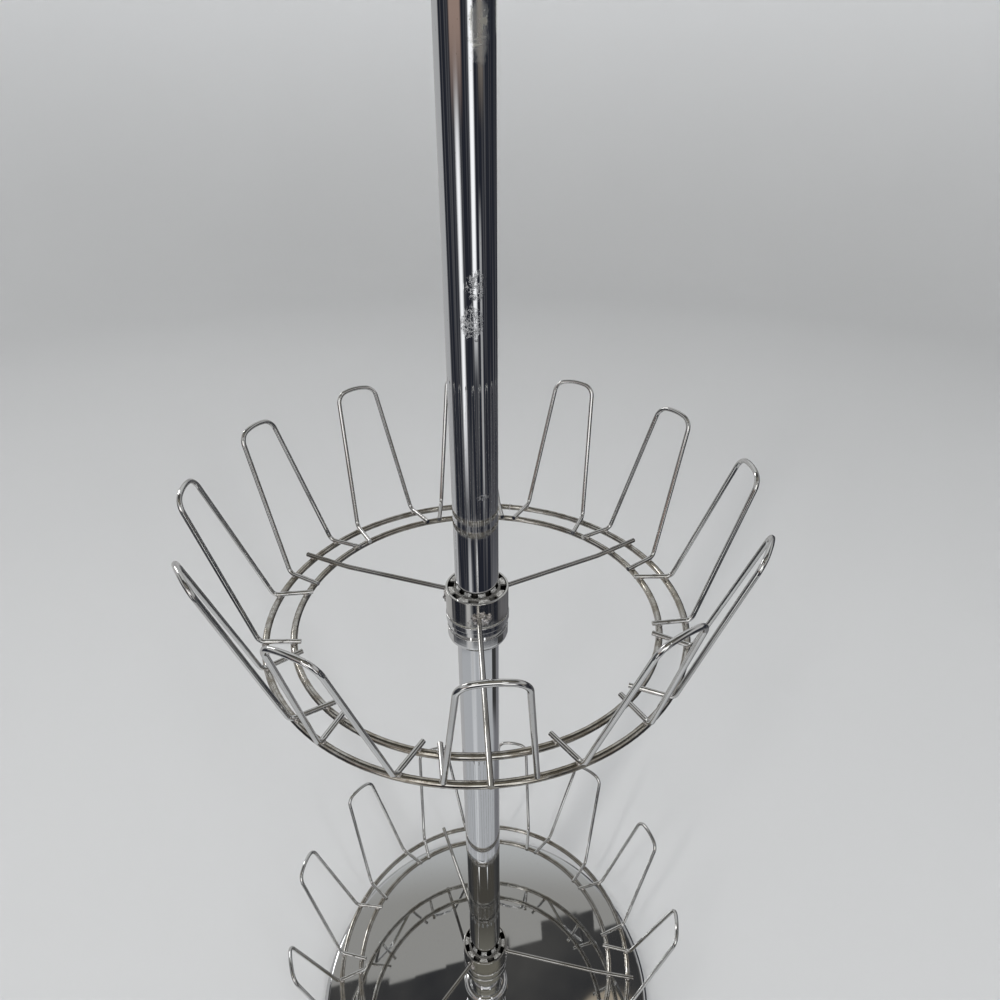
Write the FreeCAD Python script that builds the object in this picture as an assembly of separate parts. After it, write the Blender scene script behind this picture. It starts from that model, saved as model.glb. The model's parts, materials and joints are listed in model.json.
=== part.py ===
import FreeCAD, Part
import math
import os

from FreeCAD import Rotation, Vector

# Rotating shoe tower: a broad round base, a chrome pole in screwed sections, and three
# wire tiers that each turn by themselves on the pole.  Every tier is two concentric rings, three
# spokes, twelve bent loops that shoes slip over, and a hub of a collar with a castellated bush.
#
# Millimetres, +Z up.  The origin is the centre of the footprint, on the floor.
# Heights inside a tier are measured from the plane through the centres of its two rings.

# ---------------------------------------------------------------- tower
TIER_NAMES = ("lower", "middle", "upper")
TIER_TURN_DEG = (78.0, 1.9, 40.0)    # how far each tier stands turned at rest
FIRST_TIER_HEIGHT = 62.0             # floor to the ring plane of the lower tier
TIER_PITCH = 380.0                   # ring plane to ring plane

# ---------------------------------------------------------------- wires and rings
RING_WIRE_DIA = 4.0
SPOKE_WIRE_DIA = 3.0
LOOP_WIRE_DIA = 2.8
WELD_SINK = 0.2                      # how far crossing wires melt into each other
OUTER_RING_RADIUS = 122.0            # to the centre of the wire
RING_SPACING = 15.5                  # wire centre to wire centre

# ---------------------------------------------------------------- shoe loops
LOOPS_PER_TIER = 12
LOOPS_PER_NODE = 2                   # one pair of loops carries one pair of shoes
LOOP_HEIGHT = 93.0                   # foot to crown, along the leaning plane of the loop
LOOP_LEAN_DEG = 17.7                 # outwards from upright
LOOP_FOOT_SPACING = 42.2             # between the legs where they leave the feet
LOOP_CROWN_SPACING = 25.8            # between the lines of the legs at crown height
LOOP_CORNER_RADIUS = 8.0
LOOP_CROWN_RADIUS = 33.0             # the shallow bow across the top
LOOP_FOOT_BEND_RADIUS = 4.5
LOOP_FOOT_OVERHANG = 1.0             # foot bend beyond the centre of the outer ring
LOOP_STUB_OVERSHOOT = 6.6            # stub end inside the centre of the inner ring
LOOP_STUB_SPLAY = 1.4                # each stub end stands this much wider than its foot

# ---------------------------------------------------------------- spokes
SPOKES_PER_TIER = 3
SPOKE_HUB_HEIGHT = 10.6              # centre of the spoke at the collar, above the ring plane
SPOKE_BEND_INSET = 13.0              # bend inside the centre of the inner ring
SPOKE_BEND_RADIUS = 40.0
SPOKE_TIP_OVERHANG = 4.2             # tip beyond the centre of the outer ring
SPOKE_WELD_DEPTH = 0.6               # end let into the collar wall

# ---------------------------------------------------------------- pole
POLE_DIA = 25.4
POLE_WALL = 1.2
POLE_TOP_LENGTH = 110.0              # stub that stands through the upper hub
JOINT_DROP = 6.0                     # seam between two sections, below the ring plane
SEAM_GAP = 0.1                       # between the ends of two sections
CAP_DOME_HEIGHT = 7.0
CAP_RIM_HEIGHT = 1.6
CAP_RIM_LIP = 0.5                    # rim of the cap beyond the pole
CAP_PLUG_LENGTH = 14.0
CAP_PLUG_WALL = 2.0

# ---------------------------------------------------------------- hub
COLLAR_OUTER_DIA = 37.0
COLLAR_WALL = 1.2
COLLAR_HEIGHT = 17.0
COLLAR_EDGE_RADIUS = 0.4
RUNNING_CLEARANCE = 0.08             # bush to pole, radial
THRUST_CLEARANCE = 0.05              # hub to thrust washer, axial
BUSH_LUGS = 8
BUSH_TURN_DEG = (-16.0, -10.4, 6.0)  # how far each bush was pressed in turned from its tier
BUSH_SLOT_DEG = 20.0                 # width of each gap between lugs
BUSH_SLEEVE_WALL = 0.8               # closed sleeve next to the pole
BUSH_RECESS = 0.3                    # lug tops below the rim of the collar
BUSH_SLEEVE_DROP = 0.6               # sleeve top below the lug tops
BUSH_SLOT_DEPTH = 9.0
BUSH_LUG_CHAMFER = 0.5

# ---------------------------------------------------------------- support cup and thrust washer
CUP_TOP_HEIGHT = 1.8                 # top face above the ring plane
CUP_LIP_DIA = 37.6
CUP_LIP_HEIGHT = 4.0
CUP_STEP_DIA = 35.4
CUP_STEP_HEIGHT = 3.4
CUP_GROOVE_DIA = 33.2
CUP_GROOVE_HEIGHT = 2.0
CUP_BODY_DIA = 36.4
CUP_BODY_HEIGHT = 10.7
CUP_BOTTOM_RADIUS = 5.2
CUP_EDGE_RADIUS = 0.5
WASHER_THICKNESS = 0.8
WASHER_EDGE_INSET = 1.2              # washer edge inside the lip of the cup
WASHER_POLE_CLEARANCE = 0.3

# ---------------------------------------------------------------- screwed joints in the pole
JOINT_THREAD_DIA = 12.0
JOINT_THREAD_CLEARANCE = 0.15
JOINT_PLUG_LENGTH = 18.0
JOINT_STUD_LENGTH = 15.0
JOINT_STUD_CHAMFER = 1.2
JOINT_BORE_SPARE = 2.0               # room beyond the end of the stud

# ---------------------------------------------------------------- base
BASE_DIA = 288.0
BASE_TOP_HEIGHT = 14.0
BASE_SHEET = 2.0
BASE_SHOULDER_RADIUS = 5.0
BASE_FLOOR_GAP = 2.0                 # skirt above the floor
PAD_COUNT = 6
PAD_INSET = 19.0                     # pad centre inside the edge of the dish
PAD_TOP_DIA = 20.0
PAD_FOOT_DIA = 17.0
PAD_EDGE_RADIUS = 1.0
BOLT_DIA = 8.0
BOLT_HOLE_CLEARANCE = 0.5
BOLT_HEAD_FLATS = 13.0
BOLT_HEAD_HEIGHT = 5.3
BOLT_HEAD_CHAMFER = 0.6
BOLT_REACH = 16.0                    # shank above the sheet
BOLT_BORE_SPARE = 2.0                # thread cut beyond the end of the shank
BOLT_THREAD_CLEARANCE = 0.1
BASE_WASHER_DIA = 44.0
BASE_WASHER_THICKNESS = 2.0
STEM_PLUG_LENGTH = 22.0
FERRULE_DIA = 38.6
FERRULE_HEIGHT = 8.5                 # above the dish
FERRULE_SHOULDER_RADIUS = 4.6
FERRULE_CLEARANCE = 0.1              # ferrule to stem, radial

# ---------------------------------------------------------------- worked out from the above
UP = Vector(0, 0, 1)
POLE_RADIUS = POLE_DIA / 2
POLE_BORE_RADIUS = POLE_RADIUS - POLE_WALL
RING_WIRE_RADIUS = RING_WIRE_DIA / 2
INNER_RING_RADIUS = OUTER_RING_RADIUS - RING_SPACING
COLLAR_FOOT_HEIGHT = CUP_TOP_HEIGHT + WASHER_THICKNESS + THRUST_CLEARANCE
LOOP_PITCH_DEG = 360.0 / LOOPS_PER_TIER
BASE_UNDERSIDE = BASE_TOP_HEIGHT - BASE_SHEET


def tier_height(index):
    """Height of a tier's ring plane above the floor."""
    return FIRST_TIER_HEIGHT + index * TIER_PITCH


def joint_height(index):
    """Height of the pole seam that hides in a tier's support cup."""
    return tier_height(index) - JOINT_DROP


def turned(shape, degrees, height=0.0):
    """Copy of a shape, turned about the pole and lifted."""
    copy = shape.copy()
    copy.rotate(Vector(0, 0, 0), UP, degrees)
    copy.translate(Vector(0, 0, height))
    return copy


def cylinder(radius, bottom, top):
    """Upright cylinder on the pole's axis."""
    return Part.makeCylinder(radius, top - bottom, Vector(0, 0, bottom))


def tube(outer_radius, inner_radius, bottom, top):
    """Upright tube on the pole's axis."""
    return cylinder(outer_radius, bottom, top).cut(cylinder(inner_radius, bottom, top))


def revolved(edges):
    """Solid of revolution about the pole's axis from a closed outline in the XZ plane."""
    face = Part.Face(Part.Wire(Part.__sortEdges__(edges)))
    return face.revolve(Vector(0, 0, 0), UP, 360)


def outline(points):
    """Straight edges through a closed run of (radius, height) points."""
    corners = [Vector(r, 0, z) for r, z in points]
    pairs = zip(corners, corners[1:] + corners[:1])
    return [Part.LineSegment(a, b).toShape() for a, b in pairs]


def round_edges(solid, radius, wanted):
    """Fillet the edges that the test picks out."""
    return solid.makeFillet(radius, [edge for edge in solid.Edges if wanted(edge)])


def is_circle(edge, radius, height):
    """True for a full circle of this radius at this height."""
    curve = edge.Curve
    if not isinstance(curve, Part.Circle):
        return False
    return abs(curve.Radius - radius) < 1e-6 and abs(curve.Center.z - height) < 1e-6


# ---------------------------------------------------------------- bent wire
def bend(before, corner, after, radius):
    """Arc that rounds a corner, with the two points where it leaves the straight runs."""
    towards = (before - corner).normalize()
    away = (after - corner).normalize()
    half_angle = towards.getAngle(away) / 2
    setback = radius / math.tan(half_angle)
    middle_distance = radius / math.sin(half_angle) - radius
    bisector = (towards + away).normalize()
    start = corner + towards * setback
    end = corner + away * setback
    return Part.Arc(start, corner + bisector * middle_distance, end).toShape(), start, end


def line(start, end):
    """Straight edge."""
    return Part.LineSegment(start, end).toShape()


def wire_along(edges, diameter):
    """Round bar that follows a run of tangent edges, cut square at both ends."""
    path = Part.Wire(edges)
    start = edges[0].Vertexes[0].Point
    direction = edges[0].tangentAt(edges[0].FirstParameter)
    section = Part.Face(Part.Wire(Part.makeCircle(diameter / 2, start, direction)))
    return path.makePipe(section)


# ---------------------------------------------------------------- tier pieces
def ring(radius):
    """Closed wire ring in the ring plane."""
    return Part.makeTorus(radius, RING_WIRE_RADIUS)


def loop_leg(side):
    """Key points of one leg, in the leaning plane of the loop: (across, along) pairs.

    Returns where the leg meets the corner arc, a point midway round that arc, and where the
    arc meets the crown.  The corner arc touches the leg line and the crown circle from inside.
    """
    foot = LOOP_FOOT_SPACING / 2
    taper = math.atan2(foot - LOOP_CROWN_SPACING / 2, LOOP_HEIGHT)
    crown_centre = LOOP_HEIGHT - LOOP_CROWN_RADIUS
    up_x, up_y = -math.sin(taper), math.cos(taper)
    inset_x = foot - LOOP_CORNER_RADIUS * math.cos(taper)
    inset_y = -LOOP_CORNER_RADIUS * math.sin(taper) - crown_centre
    reach = LOOP_CROWN_RADIUS - LOOP_CORNER_RADIUS
    dot = inset_x * up_x + inset_y * up_y
    run = -dot + math.sqrt(dot ** 2 - inset_x ** 2 - inset_y ** 2 + reach ** 2)
    centre_x = inset_x + run * up_x
    centre_y = inset_y + run * up_y + crown_centre
    out_x = centre_x / reach
    out_y = (centre_y - crown_centre) / reach
    leg_end = (foot + run * up_x, run * up_y)
    crown_end = (centre_x + LOOP_CORNER_RADIUS * out_x, centre_y + LOOP_CORNER_RADIUS * out_y)
    half = math.hypot(math.cos(taper) + out_x, math.sin(taper) + out_y)
    middle = (centre_x + LOOP_CORNER_RADIUS * (math.cos(taper) + out_x) / half,
              centre_y + LOOP_CORNER_RADIUS * (math.sin(taper) + out_y) / half)
    return [(side * x, y) for x, y in (leg_end, middle, crown_end)]


def shoe_loop():
    """One loop, centred on +X: two feet across the rings, leaning legs and a bowed crown."""
    foot_radius = OUTER_RING_RADIUS + LOOP_FOOT_OVERHANG
    foot_height = RING_WIRE_RADIUS + LOOP_WIRE_DIA / 2 - WELD_SINK
    lean = math.radians(LOOP_LEAN_DEG)

    def leaning(across, along):
        return Vector(foot_radius + along * math.sin(lean), across, foot_height + along * math.cos(lean))

    def stub_end(side):
        across = side * (LOOP_FOOT_SPACING / 2 + LOOP_STUB_SPLAY)
        return Vector(INNER_RING_RADIUS - LOOP_STUB_OVERSHOOT, across, foot_height)

    right_leg, right_corner, right_crown = [leaning(*point) for point in loop_leg(-1)]
    left_leg, left_corner, left_crown = [leaning(*point) for point in loop_leg(1)]
    right_foot = leaning(-LOOP_FOOT_SPACING / 2, 0)
    left_foot = leaning(LOOP_FOOT_SPACING / 2, 0)
    right_bend, right_in, right_out = bend(stub_end(-1), right_foot, right_leg, LOOP_FOOT_BEND_RADIUS)
    left_bend, left_in, left_out = bend(left_leg, left_foot, stub_end(1), LOOP_FOOT_BEND_RADIUS)
    crown = leaning(0, LOOP_HEIGHT)
    return wire_along([
        line(stub_end(-1), right_in),
        right_bend,
        line(right_out, right_leg),
        Part.Arc(right_leg, right_corner, right_crown).toShape(),
        Part.Arc(right_crown, crown, left_crown).toShape(),
        Part.Arc(left_crown, left_corner, left_leg).toShape(),
        line(left_leg, left_in),
        left_bend,
        line(left_out, stub_end(1)),
    ], LOOP_WIRE_DIA)


def spoke():
    """One spoke, along +X: down from the collar, then flat across both rings."""
    flat_height = RING_WIRE_RADIUS + SPOKE_WIRE_DIA / 2 - WELD_SINK
    hub_end = Vector(COLLAR_OUTER_DIA / 2 - SPOKE_WELD_DEPTH, 0, SPOKE_HUB_HEIGHT)
    corner = Vector(INNER_RING_RADIUS - SPOKE_BEND_INSET, 0, flat_height)
    tip = Vector(OUTER_RING_RADIUS + SPOKE_TIP_OVERHANG, 0, flat_height)
    arc, arc_start, arc_end = bend(hub_end, corner, tip, SPOKE_BEND_RADIUS)
    return wire_along([line(hub_end, arc_start), arc, line(arc_end, tip)], SPOKE_WIRE_DIA)


def hub_collar():
    """Plain steel tube that the spokes are welded to."""
    outer = COLLAR_OUTER_DIA / 2
    top = COLLAR_FOOT_HEIGHT + COLLAR_HEIGHT
    body = tube(outer, outer - COLLAR_WALL, COLLAR_FOOT_HEIGHT, top)
    return round_edges(body, COLLAR_EDGE_RADIUS, lambda edge: is_circle(edge, outer, top)
                       or is_circle(edge, outer, COLLAR_FOOT_HEIGHT))


def hub_bush():
    """Bush pressed into the collar: a sleeve on the pole with lugs like a castle's wall."""
    bore = POLE_RADIUS + RUNNING_CLEARANCE
    sleeve = bore + BUSH_SLEEVE_WALL
    rim = COLLAR_OUTER_DIA / 2 - COLLAR_WALL
    foot = COLLAR_FOOT_HEIGHT
    top = foot + COLLAR_HEIGHT - BUSH_RECESS
    lug_ring = revolved(outline([
        (sleeve, foot),
        (rim, foot),
        (rim, top - BUSH_LUG_CHAMFER),
        (rim - BUSH_LUG_CHAMFER, top),
        (sleeve + BUSH_LUG_CHAMFER, top),
        (sleeve, top - BUSH_LUG_CHAMFER),
    ]))
    slot_width = 2 * rim * math.sin(math.radians(BUSH_SLOT_DEG / 2))
    slot = Part.makeBox(rim, slot_width, BUSH_SLOT_DEPTH, Vector(sleeve, -slot_width / 2, top - BUSH_SLOT_DEPTH))
    for index in range(BUSH_LUGS):
        lug_ring = lug_ring.cut(turned(slot, index * 360.0 / BUSH_LUGS))
    return lug_ring.fuse(tube(sleeve, bore, foot, top - BUSH_SLEEVE_DROP)).removeSplitter()


# ---------------------------------------------------------------- pole pieces
def pole_section(bottom, top):
    """Plain length of pole tube."""
    return tube(POLE_RADIUS, POLE_BORE_RADIUS, bottom, top)


def support_cup(plane):
    """Turned cup over a pole seam: lip, step, groove and a body with a rounded foot."""
    top = plane + CUP_TOP_HEIGHT
    step_top = top - CUP_LIP_HEIGHT
    groove_top = step_top - CUP_STEP_HEIGHT
    body_top = groove_top - CUP_GROOVE_HEIGHT
    foot = body_top - CUP_BODY_HEIGHT
    lip = CUP_LIP_DIA / 2
    body = CUP_BODY_DIA / 2
    cup = revolved(outline([
        (POLE_RADIUS, foot),
        (body, foot),
        (body, body_top),
        (CUP_GROOVE_DIA / 2, body_top),
        (CUP_GROOVE_DIA / 2, groove_top),
        (CUP_STEP_DIA / 2, groove_top),
        (CUP_STEP_DIA / 2, step_top),
        (lip, step_top),
        (lip, top),
        (POLE_RADIUS, top),
    ]))
    cup = round_edges(cup, CUP_BOTTOM_RADIUS, lambda edge: is_circle(edge, body, foot))
    return round_edges(cup, CUP_EDGE_RADIUS, lambda edge: is_circle(edge, lip, top)
                       or is_circle(edge, lip, step_top) or is_circle(edge, body, body_top))


def thrust_washer(plane):
    """Thin nylon washer that a hub turns on."""
    bottom = plane + CUP_TOP_HEIGHT
    outer = CUP_LIP_DIA / 2 - WASHER_EDGE_INSET
    return tube(outer, POLE_RADIUS + WASHER_POLE_CLEARANCE, bottom, bottom + WASHER_THICKNESS)


def joint_stud(seam):
    """Plug pressed into the top of a section, with the thread that stands out of it."""
    plug = cylinder(POLE_BORE_RADIUS, seam - JOINT_PLUG_LENGTH, seam - SEAM_GAP)
    tip = seam + JOINT_STUD_LENGTH
    radius = JOINT_THREAD_DIA / 2
    thread = revolved(outline([
        (0, seam - SEAM_GAP),
        (radius, seam - SEAM_GAP),
        (radius, tip - JOINT_STUD_CHAMFER),
        (radius - JOINT_STUD_CHAMFER, tip),
        (0, tip),
    ]))
    return plug.fuse(thread)


def joint_nut(seam):
    """Plug pressed into the foot of a section, bored for the stud below it."""
    bore_depth = JOINT_STUD_LENGTH + JOINT_BORE_SPARE
    plug = cylinder(POLE_BORE_RADIUS, seam, seam + JOINT_PLUG_LENGTH + JOINT_BORE_SPARE)
    return plug.cut(cylinder(JOINT_THREAD_DIA / 2 + JOINT_THREAD_CLEARANCE, seam, seam + bore_depth))


def top_cap(height):
    """Domed cap on the end of the pole, with a hollow plug that grips the bore."""
    rim = POLE_RADIUS + CAP_RIM_LIP
    rim_top = height + CAP_RIM_HEIGHT
    crown = rim_top + CAP_DOME_HEIGHT
    dome_radius = (rim ** 2 + CAP_DOME_HEIGHT ** 2) / (2 * CAP_DOME_HEIGHT)
    rise = math.asin(rim / dome_radius) / 2
    midway = Vector(dome_radius * math.sin(rise), 0, crown - dome_radius * (1 - math.cos(rise)))
    plug_foot = height - CAP_PLUG_LENGTH
    hollow = POLE_BORE_RADIUS - CAP_PLUG_WALL
    return revolved([
        line(Vector(0, 0, height), Vector(hollow, 0, height)),
        line(Vector(hollow, 0, height), Vector(hollow, 0, plug_foot)),
        line(Vector(hollow, 0, plug_foot), Vector(POLE_BORE_RADIUS, 0, plug_foot)),
        line(Vector(POLE_BORE_RADIUS, 0, plug_foot), Vector(POLE_BORE_RADIUS, 0, height)),
        line(Vector(POLE_BORE_RADIUS, 0, height), Vector(rim, 0, height)),
        line(Vector(rim, 0, height), Vector(rim, 0, rim_top)),
        Part.Arc(Vector(rim, 0, rim_top), midway, Vector(0, 0, crown)).toShape(),
        line(Vector(0, 0, crown), Vector(0, 0, height)),
    ])


# ---------------------------------------------------------------- base pieces
def base_plate():
    """Pressed sheet dish, open below: flat top, rolled shoulder and a short skirt."""
    edge = BASE_DIA / 2
    inside = edge - BASE_SHEET
    blank = cylinder(edge, BASE_FLOOR_GAP, BASE_TOP_HEIGHT)
    blank = round_edges(blank, BASE_SHOULDER_RADIUS, lambda e: is_circle(e, edge, BASE_TOP_HEIGHT))
    hollow = cylinder(inside, BASE_FLOOR_GAP, BASE_UNDERSIDE)
    hollow = round_edges(hollow, BASE_SHOULDER_RADIUS - BASE_SHEET,
                         lambda e: is_circle(e, inside, BASE_UNDERSIDE))
    bolt_hole = cylinder(BOLT_DIA / 2 + BOLT_HOLE_CLEARANCE, BASE_FLOOR_GAP, BASE_TOP_HEIGHT)
    return blank.cut(hollow).cut(bolt_hole)


def base_washer():
    """Broad washer that spreads the bolt's pull under the sheet."""
    return tube(BASE_WASHER_DIA / 2, BOLT_DIA / 2 + BOLT_HOLE_CLEARANCE,
                BASE_UNDERSIDE - BASE_WASHER_THICKNESS, BASE_UNDERSIDE)


def base_bolt():
    """Hexagon bolt from below, through washer and sheet into the plug of the stem."""
    seat = BASE_UNDERSIDE - BASE_WASHER_THICKNESS
    underside = seat - BOLT_HEAD_HEIGHT
    corner_radius = BOLT_HEAD_FLATS / math.sqrt(3)
    corners = [Vector(corner_radius * math.cos(math.radians(60 * i)),
                      corner_radius * math.sin(math.radians(60 * i)), underside) for i in range(7)]
    head = Part.Face(Part.makePolygon(corners)).extrude(Vector(0, 0, BOLT_HEAD_HEIGHT))
    rounding = revolved(outline([
        (0, underside),
        (BOLT_HEAD_FLATS / 2, underside),
        (corner_radius, underside + BOLT_HEAD_CHAMFER),
        (corner_radius, seat),
        (0, seat),
    ]))
    return head.common(rounding).fuse(cylinder(BOLT_DIA / 2, seat, BASE_TOP_HEIGHT + BOLT_REACH))


def stem_plug():
    """Plug pressed into the foot of the stem, bored for the base bolt."""
    plug = cylinder(POLE_BORE_RADIUS, BASE_TOP_HEIGHT, BASE_TOP_HEIGHT + STEM_PLUG_LENGTH)
    bore = cylinder(BOLT_DIA / 2 + BOLT_THREAD_CLEARANCE, BASE_TOP_HEIGHT,
                    BASE_TOP_HEIGHT + BOLT_REACH + BOLT_BORE_SPARE)
    return plug.cut(bore)


def foot_ferrule():
    """Turned ring with a round shoulder that trims the foot of the stem."""
    outer = FERRULE_DIA / 2
    top = BASE_TOP_HEIGHT + FERRULE_HEIGHT
    ring_body = tube(outer, POLE_RADIUS + FERRULE_CLEARANCE, BASE_TOP_HEIGHT, top)
    return round_edges(ring_body, FERRULE_SHOULDER_RADIUS, lambda edge: is_circle(edge, outer, top))


def foot_pads():
    """Tapered rubber bumpers under the sheet, which the tower stands on."""
    pad = Part.makeCone(PAD_FOOT_DIA / 2, PAD_TOP_DIA / 2, BASE_UNDERSIDE)
    pad = round_edges(pad, PAD_EDGE_RADIUS, lambda edge: is_circle(edge, PAD_FOOT_DIA / 2, 0))
    pad.translate(Vector(BASE_DIA / 2 - PAD_INSET, 0, 0))
    return Part.makeCompound([turned(pad, index * 360.0 / PAD_COUNT) for index in range(PAD_COUNT)])


# ---------------------------------------------------------------- assembly
def tier_nodes(index):
    """All the pieces of one turning tier, by node name."""
    name = TIER_NAMES[index]
    turn = TIER_TURN_DEG[index]
    height = tier_height(index)
    nodes = {
        "outer_ring_" + name: turned(ring(OUTER_RING_RADIUS), turn, height),
        "inner_ring_" + name: turned(ring(INNER_RING_RADIUS), turn, height),
        "hub_collar_" + name: turned(hub_collar(), turn, height),
        "hub_bush_" + name: turned(hub_bush(), turn + BUSH_TURN_DEG[index], height),
    }
    arm = spoke()
    for number in range(SPOKES_PER_TIER):
        angle = turn + LOOP_PITCH_DEG + number * 360.0 / SPOKES_PER_TIER
        nodes["spoke_%s_%d" % (name, number + 1)] = turned(arm, angle, height)
    loop = shoe_loop()
    for first in range(0, LOOPS_PER_TIER, LOOPS_PER_NODE):
        group = [turned(loop, turn + number * LOOP_PITCH_DEG, height)
                 for number in range(first, first + LOOPS_PER_NODE)]
        nodes["shoe_loops_%s_%d" % (name, first // LOOPS_PER_NODE + 1)] = Part.makeCompound(group)
    return nodes


def pole_nodes():
    """Stem, sections and top stub of the pole, with what joins and carries them."""
    last = len(TIER_NAMES) - 1
    pole_end = joint_height(last) + POLE_TOP_LENGTH
    nodes = {
        "pole_stem": pole_section(BASE_TOP_HEIGHT, joint_height(0) - SEAM_GAP),
        "pole_top": pole_section(joint_height(last), pole_end),
        "top_cap": top_cap(pole_end),
        "thrust_washers": Part.makeCompound([thrust_washer(tier_height(i)) for i in range(last + 1)]),
    }
    for index in range(last):
        section = pole_section(joint_height(index), joint_height(index + 1) - SEAM_GAP)
        nodes["pole_" + TIER_NAMES[index]] = section
    for index, name in enumerate(TIER_NAMES):
        nodes["support_cup_" + name] = support_cup(tier_height(index))
        nodes["joint_stud_" + name] = joint_stud(joint_height(index))
        nodes["joint_nut_" + name] = joint_nut(joint_height(index))
    return nodes


def base_nodes():
    """The dish, what fixes the stem to it, and what it stands on."""
    return {
        "base_plate": base_plate(),
        "base_washer": base_washer(),
        "base_bolt": base_bolt(),
        "stem_plug": stem_plug(),
        "foot_ferrule": foot_ferrule(),
        "foot_pads": foot_pads(),
    }


def main():
    """Write every piece as a STEP file of its own."""
    os.makedirs("parts", exist_ok=True)
    nodes = {**base_nodes(), **pole_nodes()}
    for index in range(len(TIER_NAMES)):
        nodes.update(tier_nodes(index))
    for name, shape in nodes.items():
        shape.exportStep(os.path.join("parts", name + ".step"))


main()
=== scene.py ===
import math
import random

import bmesh
import bpy
from mathutils import Matrix, Vector, noise
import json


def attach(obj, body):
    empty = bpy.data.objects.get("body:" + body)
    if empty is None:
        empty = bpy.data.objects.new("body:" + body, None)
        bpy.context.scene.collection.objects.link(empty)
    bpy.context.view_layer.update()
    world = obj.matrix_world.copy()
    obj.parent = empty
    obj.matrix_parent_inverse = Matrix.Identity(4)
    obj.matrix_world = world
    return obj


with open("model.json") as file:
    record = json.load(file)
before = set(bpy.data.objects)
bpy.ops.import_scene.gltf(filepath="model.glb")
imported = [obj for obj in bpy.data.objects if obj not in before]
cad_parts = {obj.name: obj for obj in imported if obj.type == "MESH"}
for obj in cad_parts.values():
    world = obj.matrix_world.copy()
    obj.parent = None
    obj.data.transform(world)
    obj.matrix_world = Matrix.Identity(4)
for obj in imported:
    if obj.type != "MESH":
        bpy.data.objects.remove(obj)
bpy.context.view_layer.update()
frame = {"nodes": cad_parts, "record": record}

# ---------------------------------------------------------------- sizes of the tower, in metres
TIERS = ("lower", "middle", "upper")
RING_PLANE = {"lower": 0.062, "middle": 0.442, "upper": 0.822}
TIER_TURN = {"lower": 78.0, "middle": 1.9, "upper": 40.0}           # degrees
TIER_PITCH = 0.380
OUTER_RING = 0.122                   # radius of each ring, to the middle of its wire
INNER_RING = 0.1065
RING_WIRE = 0.0020                   # radius of the wire
STUB_SPREAD = (0.0213, 0.0222)       # stub from the loop's centre line, at outer and inner ring
COLLAR_RADIUS = 0.0185
SPOKE_HUB_HEIGHT = 0.0106            # where the spokes meet the collar, above the ring plane
SPOKE_DIRECTIONS = (30, 150, 270)    # degrees, in the tier's own directions
LOOPS = 12
LOOP_STEP = 30                       # degrees from one loop to the next

DEGREES = 180 / math.pi              # in a radian


# ---------------------------------------------------------------- building node trees
def link(tree, source, target):
    """Join an output socket to an input socket."""
    tree.links.new(source, target)


def add(tree, kind, values=None, **settings):
    """New node; values go to its inputs by name or number, and may be sockets of other nodes."""
    made = tree.nodes.new(kind)
    for name, value in settings.items():
        setattr(made, name, value)
    for name, value in (values or {}).items():
        if isinstance(value, bpy.types.NodeSocket):
            link(tree, value, made.inputs[name])
        else:
            made.inputs[name].default_value = value
    return made


def maths(tree, operation, first, second=0.5, clamp=False):
    """Output of a Math node."""
    values = {0: first, 1: second}
    return add(tree, "ShaderNodeMath", values, operation=operation, use_clamp=clamp).outputs[0]


def times(tree, first, second):
    """Product of two values."""
    return maths(tree, "MULTIPLY", first, second)


def plus(tree, first, second):
    """Sum of two values."""
    return maths(tree, "ADD", first, second)


def vector_maths(tree, operation, first, second=None):
    """Output of a Vector Math node: a value for a length or a dot product, or else a vector."""
    values = {0: first} if second is None else {0: first, 1: second}
    made = add(tree, "ShaderNodeVectorMath", values, operation=operation)
    return made.outputs["Value" if operation in ("LENGTH", "DOT_PRODUCT") else "Vector"]


def separated(tree, place):
    """The three parts of a vector, as sockets."""
    return add(tree, "ShaderNodeSeparateXYZ", {0: place}).outputs


def stretched(tree, coordinates, scale, rotation=(0, 0, 0)):
    """Coordinates turned and stretched."""
    values = {"Vector": coordinates, "Scale": scale, "Rotation": rotation}
    return add(tree, "ShaderNodeMapping", values).outputs[0]


def speckle(tree, coordinates, scale, detail=2.0, rough=0.5):
    """Value of a noise texture."""
    values = {"Vector": coordinates, "Scale": scale, "Detail": detail, "Roughness": rough}
    return add(tree, "ShaderNodeTexNoise", values).outputs["Fac"]


def between(tree, value, low, high, to_low=0.0, to_high=1.0, smooth=False):
    """Value carried from one range to another and kept inside it."""
    values = {"Value": value, "From Min": low, "From Max": high,
              "To Min": to_low, "To Max": to_high}
    kind = "SMOOTHSTEP" if smooth else "LINEAR"
    return add(tree, "ShaderNodeMapRange", values, interpolation_type=kind).outputs[0]


def blended(tree, share, first, second):
    """Colour between two colours, by a share; each is a socket or red, green and blue."""
    colours = [value if isinstance(value, bpy.types.NodeSocket) else (*value, 1)
               for value in (first, second)]
    # the Mix node's sockets for colours have numbers 6, 7 and 2
    values = {0: share, 6: colours[0], 7: colours[1]}
    return add(tree, "ShaderNodeMix", values, data_type="RGBA").outputs[2]


FLOAT = "NodeSocketFloat"
VECTOR = "NodeSocketVector"


def new_group(name, inputs, outputs):
    """Empty effect with named sockets; returns its tree, what it is given and what it makes."""
    tree = bpy.data.node_groups.new(name, "ShaderNodeTree")
    for socket, kind, value in inputs:
        made = tree.interface.new_socket(socket, in_out="INPUT", socket_type=kind)
        if value is not None:
            made.default_value = value
    for socket in outputs:
        tree.interface.new_socket(socket, in_out="OUTPUT", socket_type=FLOAT)
    given = tree.nodes.new("NodeGroupInput").outputs
    return tree, given, tree.nodes.new("NodeGroupOutput").inputs


# ---------------------------------------------------------------- effects that finishes share
TIER_FOOT = 0.1                      # how far below its rings a finish counts a tier's heights from


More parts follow.
